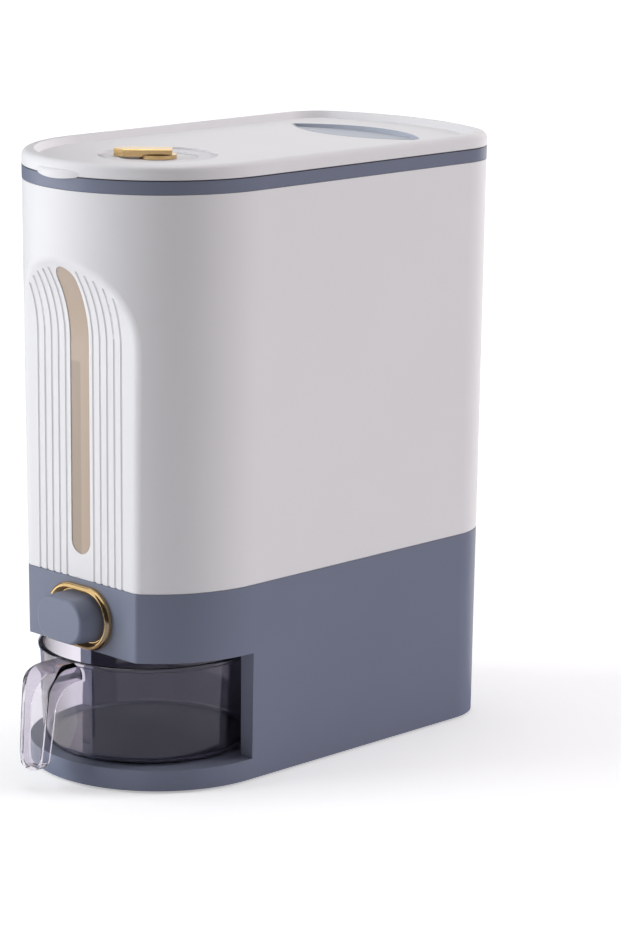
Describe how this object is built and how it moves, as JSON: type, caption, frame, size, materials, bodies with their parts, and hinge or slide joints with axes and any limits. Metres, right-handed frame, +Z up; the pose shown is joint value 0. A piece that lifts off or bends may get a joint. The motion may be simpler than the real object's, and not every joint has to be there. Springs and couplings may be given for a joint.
{
  "type": "rice dispenser",
  "caption": "Family kitchen rice bin with fluted front and level window, flip lid with dial, press-button gate and clear lift-out measuring cup in an open bay",
  "frame": {"origin": "on the table, in the mid plane, under the middle of the middle rubber pad", "axes": "+Z up; the front with button, window and cup faces -Y and the lid hinge is at +Y"},
  "size_m": [0.177, 0.3568, 0.4],
  "materials": {
    "shell_white": "satin moulded white",
    "liner_white": "satin moulded white",
    "base_blue_grey": "satin moulded blue-grey",
    "inner_grey": "satin moulded grey",
    "gate_plastic": "satin moulded natural",
    "gold_plate": "polished gold electroplate",
    "window_tint": "tinted clear moulding",
    "cup_smoke": "smoky clear moulding",
    "rubber_grey": "moulded",
    "steel": "zinc plated"
  },
  "bodies": {
    "housing": {"base_shell": "base_blue_grey", "seam_tongue": "base_blue_grey", "base_cover": "inner_grey", "foot_pad_front_left": "rubber_grey", "foot_pad_front_right": "rubber_grey", "foot_pad_middle": "rubber_grey", "foot_pad_rear_left": "rubber_grey", "foot_pad_rear_right": "rubber_grey", "cover_screw_front_left": "steel", "cover_screw_front_right": "steel", "cover_screw_rear_left": "steel", "cover_screw_rear_right": "steel", "bin_shell": "shell_white", "window_lens": "window_tint", "window_gasket": "rubber_grey", "hopper_floor": "liner_white", "outlet_chute": "inner_grey", "gate_guide": "inner_grey", "button_bezel": "gold_plate", "return_spring": "steel", "rim_collar": "base_blue_grey", "hinge_pin": "steel"},
    "lid": {"lid_shell": "shell_white", "lid_liner": "liner_white", "lid_seal": "rubber_grey", "lid_insert": "inner_grey", "absorber_box": "liner_white", "dial_ring": "liner_white"},
    "pointer": {"dial_pointer": "gold_plate", "pointer_clip": "steel"},
    "button": {"push_button": "base_blue_grey", "push_rod": "gate_plastic", "gate_plate": "gate_plastic"},
    "cup": {"cup": "cup_smoke"}
  },
  "joints": [
    {"name": "lid_hinge", "type": "hinge", "parent": "housing", "child": "lid", "pos_m": [0, 0.179, 0.388], "axis": [-1, 0, 0], "range_deg": [0, 100]},
    {"name": "button_press", "type": "slide", "parent": "housing", "child": "button", "axis": [0, 1, 0], "range_m": [0, 0.013], "stiffness_N_per_m": 250, "springref_m": -0.005, "deforming": ["return_spring"]},
    {"name": "dial_turn", "type": "hinge", "parent": "lid", "child": "pointer", "pos_m": [0, -0.062, 0.3934], "axis": [0, 0, 1], "continuous": true},
    {"name": "cup_draw", "type": "slide", "parent": "housing", "child": "cup", "axis": [0, -1, 0], "range_m": [0, 0.2]}
  ]
}
